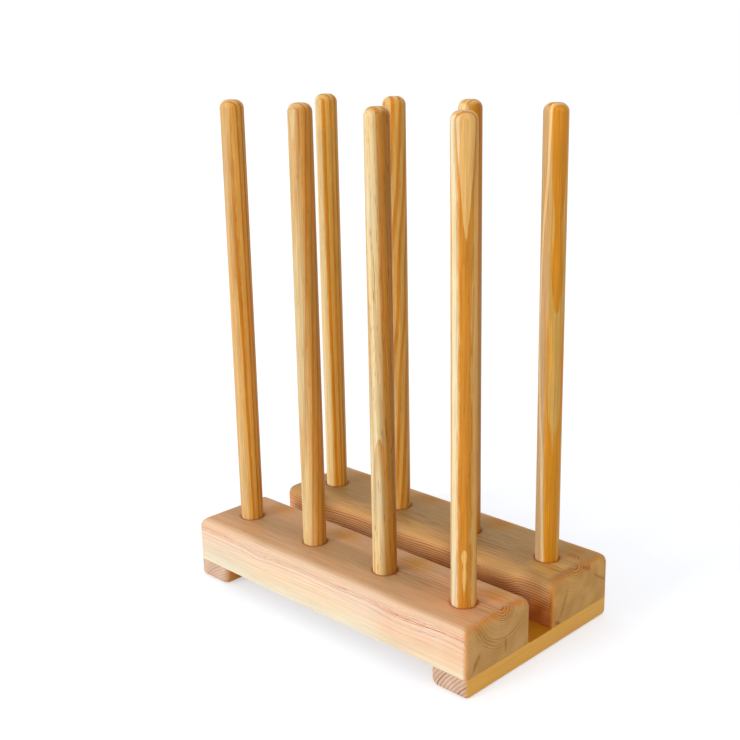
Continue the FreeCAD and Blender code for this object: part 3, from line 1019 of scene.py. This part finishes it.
# Painted shade on the rear beam's face in the gap between the beams.
PAINTED_GAP_SHADE = (0.50, 0.26, 0.02, 1.0)
WARM_TINT = (1.20, 1.05, 0.98, 1.0)
SMEAR_TINT = chart(206, 182, 138)
ROSE_TINT = (1.0, 0.84, 0.76, 1.0)
SCRATCH_TINT = chart(214, 140, 112)
DULL_TINT = (0.76, 0.81, 0.73, 1.0)
LIGHT_TINT = (1.22, 1.20, 1.22, 1.0)
BRIGHT_TINT = (1.60, 1.52, 1.20, 1.0)
# Painted light at the right-hand end of that face in the gap.
PAINTED_GAP_LIGHT = (1.28, 1.16, 0.76, 1.0)


def stand_in(first, node, kind, material, shift=(0, 0, 0), turn=0.0):
    """Puts a copy of a first piece in its node's place, moved and then turned round the
    upright middle axis. It has a mesh of its own, its shading and its material."""
    only_selected(first)
    bpy.ops.object.duplicate(linked=False)
    piece = bpy.context.object
    piece.name = piece.data.name = f"{node}_{kind}"
    piece.location = shift
    piece.rotation_euler.z = turn
    bpy.ops.object.transform_apply()
    bpy.ops.object.shade_smooth_by_angle(angle=SMOOTH_ANGLE)
    piece.data.materials.clear()
    piece.data.materials.append(material)
    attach(piece, "root")
    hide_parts(node)
    triangles = sum(len(face.vertices) - 2 for face in piece.data.polygons)
    print(f"{piece.name}: {triangles} triangles")


front_wood = wood(
    "front_beam_wood", (board_tree, "x", (0.0, -57 * MM, 82 * MM), (0.0, 0.004, 0.003)), 2.0,
    FRONT_LOOK, seed=40.0,
    drift=(-200.0, 200.0, ((0.0, 0.0), (0.12, 0.3), (0.20, -0.2), (0.26, -1.7), (0.31, -0.6),
                           (0.40, 0.2), (0.55, 0.0), (0.68, -0.2), (0.76, -1.6), (0.83, -1.4),
                           (0.92, 0.3), (1.0, 0.3))),
    strong=((0.0, 0.05), (0.14, 0.05), (0.20, 0.2), (0.50, 0.20), (0.59, 0.5), (0.605, 2.0),
            (0.645, 1.7), (0.67, 0.6), (0.80, 0.18), (1.0, 0.12)),
    marks=((mouth_marks_and_painted_light, FRONT_ROW, PEG_PITCH, PEG_RADIUS, FINISH_AND_SHADE_TINT, PAINTED_PEG_LIGHT_TINT),
           (fine_fibres, (60, -74), (200, -36), 0.60, chart(206, 178, 146)),
           (fine_fibres, (-200, -104), (200, -30), 0.32, chart(214, 190, 162)),
           (patch, (165, -70), (90, 50), WARM_TINT),
           (patch, (0, -70), (340, 24), DULL_TINT),
           (smear_and_painted_light, (70, 44), (270, 40), 40.0, 0.9, ROSE_TINT, FRONT_FACE),
           (grown_band, (-60, 81), 38.5, 1.6, 0.7, SMEAR_TINT),
           (grown_band, (-59, 81), 42.5, 1.4, 0.6, SMEAR_TINT),
           (grown_band, (-59, 81), 46.0, 0.9, 0.4, SMEAR_TINT),
           (smear_and_painted_light, (70, 58.8), (240, 62.4), 0.8, 0.8, SCRATCH_TINT, FRONT_FACE),
           (smear_and_painted_light, (-56.5, 43), (-57.0, 25), 2.6, 0.8, SMEAR_TINT),
           (smear_and_painted_light, (-95, 43), (-109, 22), 4.0, 0.8, SMEAR_TINT),
           # painted highlight up the ends' front corners
           (smear_and_painted_light, (FRONT_FACE, 0), (FRONT_FACE, 90), 6.0, 0.6, PAINTED_EDGE_HIGHLIGHT)))
rear_wood = wood(
    "rear_beam_wood", (board_tree, "x", (0.0, 62 * MM, 83 * MM), (0.0, -0.004, 0.006)), 2.1,
    REAR_LOOK, seed=910.0,
    drift=(-200.0, 200.0, ((0.0, 0.0), (0.12, -1.2), (0.3, 0.8), (0.45, -0.8), (0.6, 0.4),
                           (0.75, -1.0), (0.83, -4.6), (0.90, 0.6), (1.0, -0.6))),
    strong=((0.0, 0.2), (0.12, 0.2), (0.2, 0.15), (0.38, 0.2), (0.46, 0.8), (0.50, 1.3),
            (0.60, 1.3), (0.68, 0.6), (1.0, 0.3)),
    marks=((mouth_marks_and_painted_light, REAR_ROW, PEG_PITCH, PEG_RADIUS, FINISH_AND_SHADE_TINT, PAINTED_PEG_LIGHT_TINT),
           (fine_fibres, (-200, 22), (200, 62), 0.55, chart(190, 160, 126)),
           (fine_fibres, (-200, 40), (200, 110), 0.35, chart(200, 176, 146)),
           # painted highlight up the ends' corners beside the gap
           (smear_and_painted_light, (GAP_FACE, 0), (GAP_FACE, 90), 10.0, 1.0, PAINTED_EDGE_HIGHLIGHT),
           (smear_and_painted_light, (46, 57), (31, 27), 5.0, 0.7, SMEAR_TINT),
           (smear_and_painted_light, (89, 56), (112, 41), 2.6, 0.7, SMEAR_TINT),
           (smear_and_painted_light, (22, 24), (31, 22), 4.0, 1.0, chart(180, 136, 90)),
           # painted shade, then painted light, on the face in the gap
           (smear_and_painted_light, (20, 36), (270, 34), 28.0, 1.0, PAINTED_GAP_SHADE, GAP_FACE),
           (smear_and_painted_light, (170, 40), (200, 40), 26.0, 1.0, PAINTED_GAP_LIGHT, GAP_FACE),
           (patch, (188, 50), (46, 34), BRIGHT_TINT),
           (patch, (0, 30), (260, 16), LIGHT_TINT),
           (smear_and_painted_light, (72, 69), (86, 64), 5.0, 0.9, chart(206, 150, 100)),
           (knot, (180.5, 82.0), 9.0, chart(190, 120, 72), KNOT_GLOW)))
beam_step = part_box("rear_beam")[0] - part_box("front_beam")[0]
stand_in(first_beam, "front_beam", "board", front_wood)
stand_in(first_beam, "rear_beam", "board", rear_wood, shift=beam_step)
bpy.data.objects.remove(first_beam)

# %% [markdown]
# The battens are rounded only underneath and on their corners: most on the inner edge, less
# on the outer edge and the ends. Their top edges stay square, because the beams' faces meet
# them flush. The right one is modelled, and the left one is a copy, turned half round.

# %% Battens
INNER_ROUND = 9.0 * MM
OUTER_SHARE = 4.0 / 9.0
END_SHARE = 7.0 / 9.0
OUTER_CORNER_SHARE = 5.0 / 9.0
INNER_CORNER_SHARE = 8.0 / 9.0
SCREW_HEAD = 4.8 * MM
SCREW_PITCH = 50.0 * MM
SCREW_HOLE = 2.8 * MM
SUNK = 2.6 * MM
# Painted shade on the battens' tops between the beams.
PAINTED_BATTEN_SHADE = (0.56, 0.42, 0.10, 1.0)
FAINT = ((0.0, 0.15), (1.0, 0.15))
# The left batten's base is a deeper orange than the right one's: partly its own wood, and partly
# painted shade, for the warm shade on its inner side under the beams.
LEFT_BASE = chart(238, 160, 76)
LEFT_LOOK = dict(BATTEN_LOOK, base=((0.0, LEFT_BASE), (1.0, LEFT_BASE)),
                 end_strong=((0.0, 0.6), (1.0, 0.6)))

low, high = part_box("right_batten")
first_batten = add_block("first_batten", low, high)
under, inner, outer = both_at(2, low.z), both_at(0, low.x), both_at(0, high.x)
weigh_edges(first_batten, both(under, inner), 1.0)
weigh_edges(first_batten, both(under, outer), OUTER_SHARE)
for y in (low.y, high.y):
    end = both_at(1, y)
    weigh_edges(first_batten, both(under, end), END_SHARE)
    weigh_edges(first_batten, both(outer, end), OUTER_CORNER_SHARE)
    weigh_edges(first_batten, both(inner, end), INNER_CORNER_SHARE)
apply_bevel(first_batten, INNER_ROUND)

screws_low, screws_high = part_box("right_batten_screws")
middle = (screws_low.x + screws_high.x) / 2
far = (screws_high.y - screws_low.y) / 2 - SCREW_HEAD
near = far - SCREW_PITCH
wide = SCREW_HOLE + SUNK
outline = [(wide + MM, low.z - MM), (wide, low.z), (SCREW_HOLE, low.z + SUNK),
           (SCREW_HOLE, high.z + MM)]
take_out(first_batten, [turned_cutter("screw_drill", (middle, y), outline)
                        for y in (-far, -near, near, far)])

left_wood = wood("left_batten_wood",
                 (board_tree, "y", (-131 * MM, 0.0, -56 * MM), (0.004, 0.01, 0.012)), 3.4,
                 LEFT_LOOK, seed=300.0, strong=FAINT, marks=[(between_beams, PAINTED_BATTEN_SHADE)])
right_wood = wood("right_batten_wood",
                  (board_tree, "y", (243 * MM, 0.0, -36 * MM), (0.006, 0.0, -0.01)), 3.5,
                  BATTEN_LOOK, seed=700.0, strong=FAINT, marks=[(between_beams, PAINTED_BATTEN_SHADE)])
stand_in(first_batten, "right_batten", "board", right_wood)
stand_in(first_batten, "left_batten", "board", left_wood, turn=math.pi)
bpy.data.objects.remove(first_batten)

# %% [markdown]
# A peg is a turned rod. It starts as a cylinder, its top rim is rounded by a bevel that
# leaves a small flat, and its foot is drawn in a little to take glue. All eight are alike, so
# one is modelled on the middle of the floor and copied, each copy with a mesh of its own.

# %% The first peg
PEG_SIDES = 64
TIP_ROUND = 9.0 * MM
GLUE_RELIEF = 0.2 * MM
FACES_DOWN = -0.9

bpy.ops.mesh.primitive_cylinder_add(
    vertices=PEG_SIDES, radius=PEG_RADIUS, depth=PEG_TOP - BEAM_TOP,
    location=(0, 0, (PEG_TOP + BEAM_TOP) / 2), end_fill_type="NGON")
first_peg = bpy.context.object
first_peg.name = "first_peg"
bpy.ops.object.transform_apply()
weigh_edges(first_peg, both_at(2, PEG_TOP), 1.0)
apply_bevel(first_peg, TIP_ROUND)

edit_chosen(first_peg, "FACE", lambda face: face.normal.z < FACES_DOWN)
bpy.ops.mesh.inset(thickness=GLUE_RELIEF)
bpy.ops.mesh.extrude_region_move(
    TRANSFORM_OT_translate={"value": (0, 0, PEG_FOOT - BEAM_TOP)})
bpy.ops.object.mode_set(mode="OBJECT")
print("a peg stands", round((PEG_TOP - BEAM_TOP) / MM), "mm above its beam")

# %% [markdown]
# What makes each peg its own is where in the tree it was cut. A peg whose bark side faces the
# viewer shows pale tongues in dark wood, and one that turns its pith side shows dark flames
# in pale wood. The slow drift of the rings along the peg draws their outlines: where a ring
# comes to the surface and leaves it again, a tongue opens and closes.

# %% Each peg's place in its tree
PITH_FAR = 150.0
# Every peg turns its pale side this way, towards the key light, and its darker side away: partly
# painted light and painted shade.
SUN_SIDE = Vector((-0.37, -0.93))
SEED_STEP = 130.0
STREAK_PATH = ((0.0, -76), (0.107, -83), (0.21, -88), (0.27, -91), (0.32, -102), (0.40, -114),
               (0.60, -120), (0.70, -112), (0.80, -94), (0.86, -84), (0.93, -80), (1.0, -76))
STREAK_WIDTH = 8.0
STREAK_TINT = (1.40, 1.48, 1.58, 1.0)
UMBER = chart(179, 129, 54)
DEEP = chart(200, 150, 74)
GOLDEN = chart(222, 174, 86)
HONEY = chart(238, 190, 116)
STRAW = chart(234, 214, 168)
ORANGE = chart(208, 134, 16)
RUST = chart(196, 120, 16)
BROWN = chart(200, 132, 48)
TAN = chart(222, 188, 130)
CREAM = chart(238, 216, 164)
IVORY = chart(234, 223, 190)


def make_peg(name, bearing, shown, turn, ring, drift, pale, deep, pale_from, soft=0.22,
             marks=(), **look):
    """A peg, from the bearing of the side that shows its figure, which side of the tree that
    is, the turn from foot to top in degrees, the rings' width, their drift, the colours of its
    pale and deep sides, and where on its radius the pale side starts, and how softly. The pale
    side always faces the key light, so it is partly painted light, and the deep side partly
    painted shade."""
    centre = peg_axes[name]
    tall = PEG_TOP - BEAM_TOP
    rim = PEG_RADIUS / MM
    bark, first = (bearing, rim) if shown == "bark" else (bearing + 180, -rim)
    place = (rod_tree, (*centre, BEAM_TOP), tall, bark, turn, PITH_FAR)
    peg_wood = wood(f"{name}_wood", place, ring,
                    dict(PEG_LOOK, base=((0.0, deep), (1.0, deep)), **look),
                    seed=SEED_STEP * PEG_NAMES.index(name), first=PITH_FAR + first,
                    drift=(0.0, tall / MM, drift), marks=marks,
                    sapwood_lit_side=(pale, centre, SUN_SIDE, PEG_RADIUS, pale_from, soft))
    stand_in(first_peg, name, "rod", peg_wood, shift=(*centre, 0))


make_peg(
    "peg_front_1", -70, "bark", 10, 4.5, ((0.0, 2.0), (0.3, 1.0), (0.7, -0.5), (1.0, -2.0)),
    chart(218, 182, 126), chart(230, 172, 84), 0.55, 0.30,
    season=wide_season(0.45, 0.85), line_colour=RUST)
make_peg(
    "peg_front_2", -100, "bark", 20, 5.5, ((0.0, -3.0), (0.4, 1.0), (1.0, 6.0)),
    chart(224, 200, 152), chart(212, 152, 70), 0.48, 0.38, season=wide_season(0.45, 0.85),
    line_colour=chart(194, 126, 40), dashes=0.4)
make_peg(
    "peg_front_3", -48, "pith", -40, 7.0,
    ((0.0, -6.8), (0.11, -5.4), (0.21, -3.8), (0.29, -1.0), (0.314, 0.0), (0.35, 0.6),
     (0.45, 1.6), (0.57, 2.2), (0.70, 1.6), (0.80, 0.9), (1.0, 0.3)),
    STRAW, UMBER, 0.52, 0.42, season=wide_season(0.42, 0.80), line_colour=BROWN,
    dashes=0.9, sap_lines=0.6, crisp=(0.0, 1.0), feather=2.5, bands=0.7,
    dash_edge=(0.10, 0.24), heart_tint=(0.80, 0.75, 0.46, 1.0))
make_peg(
    "peg_front_4", -49, "bark", 10, 7.0,
    ((0.0, 0.03), (0.04, 0.06), (0.075, 0.20), (0.095, 0.05), (0.114, 0.30),
     (0.135, -0.1), (0.25, -0.3), (0.6, -0.3), (0.72, -0.05), (0.74, 0.02),
     (0.81, 0.55), (0.886, 1.6), (0.95, 2.8), (1.0, 3.8)),
    IVORY, HONEY, 0.79, 0.18, season=wide_season(0.46, 0.90), line_colour=ORANGE,
    sap_lines=0.75, heart_tint=(0.84, 0.76, 0.45, 1.0))
make_peg(
    "peg_rear_1", -90, "pith", 15, 5.5, ((0.0, 0.0), (0.5, 2.5), (1.0, 4.0)),
    CREAM, GOLDEN, 0.7, season=wide_season(0.4, 0.8), line_colour=ORANGE)
make_peg(
    "peg_rear_2", -120, "bark", 0, 8.0,
    ((0.0, -15.0), (0.2, -9.0), (0.36, -6.0), (0.5, 0.0), (0.62, 1.5), (0.8, 9.0), (1.0, 14.0)),
    TAN, chart(232, 182, 94), 0.7, season=wide_season(0.35, 0.70),
    line_colour=chart(212, 138, 34), sap_lines=0.9)
make_peg(
    "peg_rear_3", -10, "bark", 0, 5.0, ((0.0, 0.0), (0.5, 3.0), (1.0, 5.0)),
    CREAM, DEEP, 0.7, season=wide_season(0.4, 0.85), line_colour=ORANGE)
make_peg(
    "peg_rear_4", -37, "pith", 9, 8.0,
    ((0.0, 6.5), (0.05, 6.0), (0.107, 5.5), (0.16, 5.1), (0.214, 4.6), (0.25, 4.2),
     (0.30, 3.6), (0.33, 2.8), (0.36, 2.2), (0.40, 2.0), (0.50, 1.9), (0.54, 1.2),
     (0.57, 0.0), (0.60, -0.55), (0.621, -1.17), (0.664, -1.53), (0.714, -0.95),
     (0.757, -0.48), (0.786, -0.83), (0.83, -1.9), (0.90, -3.0), (1.0, -3.5)),
    chart(196, 172, 134), chart(226, 178, 90), 0.78, 0.17, season=wide_season(0.40, 0.55),
    line_colour=chart(224, 148, 24), dashes=0.15, sap_lines=0.30,
    heart_tint=(0.92, 0.82, 0.58, 1.0),
    marks=[(pale_streak, peg_axes["peg_rear_4"], STREAK_PATH, STREAK_WIDTH, STREAK_TINT)])
bpy.data.objects.remove(first_peg)

# %% [markdown]
# The screws are seen only from below, where their heads lie sunk in the battens. Their nodes
# already have the right shape, with the cross in each head, so they keep it. Their finish is
# zinc with a pale yellow film, which is never even: it is cloudy, and duller or shinier with
# the clouds.

# %% Screws
ZINC = chart(204, 200, 190)
YELLOW_FILM = chart(206, 186, 134)
CLOUD_SIZE = 2.5 * MM
CLOUD_EDGE = (-0.2, 0.2)
SCRATCH_SIZE = 0.35 * MM
DENT = 0.05 * MM
DENT_STRENGTH = 0.15
STEEL_ROUGHNESS = 0.36
CLOUD_ROUGHNESS = 0.25

steel = Recipe(bpy.data.materials.new("screw_steel"))
spot = steel.value("ShaderNodeTexCoord", {}, "Object")
cloud = spot.noise(CLOUD_SIZE, *ROUGH)
dents = steel.value("ShaderNodeBump", {"Height": spot.noise(SCRATCH_SIZE),
                                       "Strength": DENT_STRENGTH, "Distance": DENT})
steel.feed(steel.surface, {
    "Base Color": steel.blend(cloud.rise(*CLOUD_EDGE), ZINC, YELLOW_FILM), "Metallic": 1.0,
    "Roughness": cloud * CLOUD_ROUGHNESS + STEEL_ROUGHNESS, "Normal": dents})
for side in ("left", "right"):
    screws = nodes[f"{side}_batten_screws"]
    screws.data.materials.clear()
    screws.data.materials.append(steel.material)
print("screws get", steel.material.name)
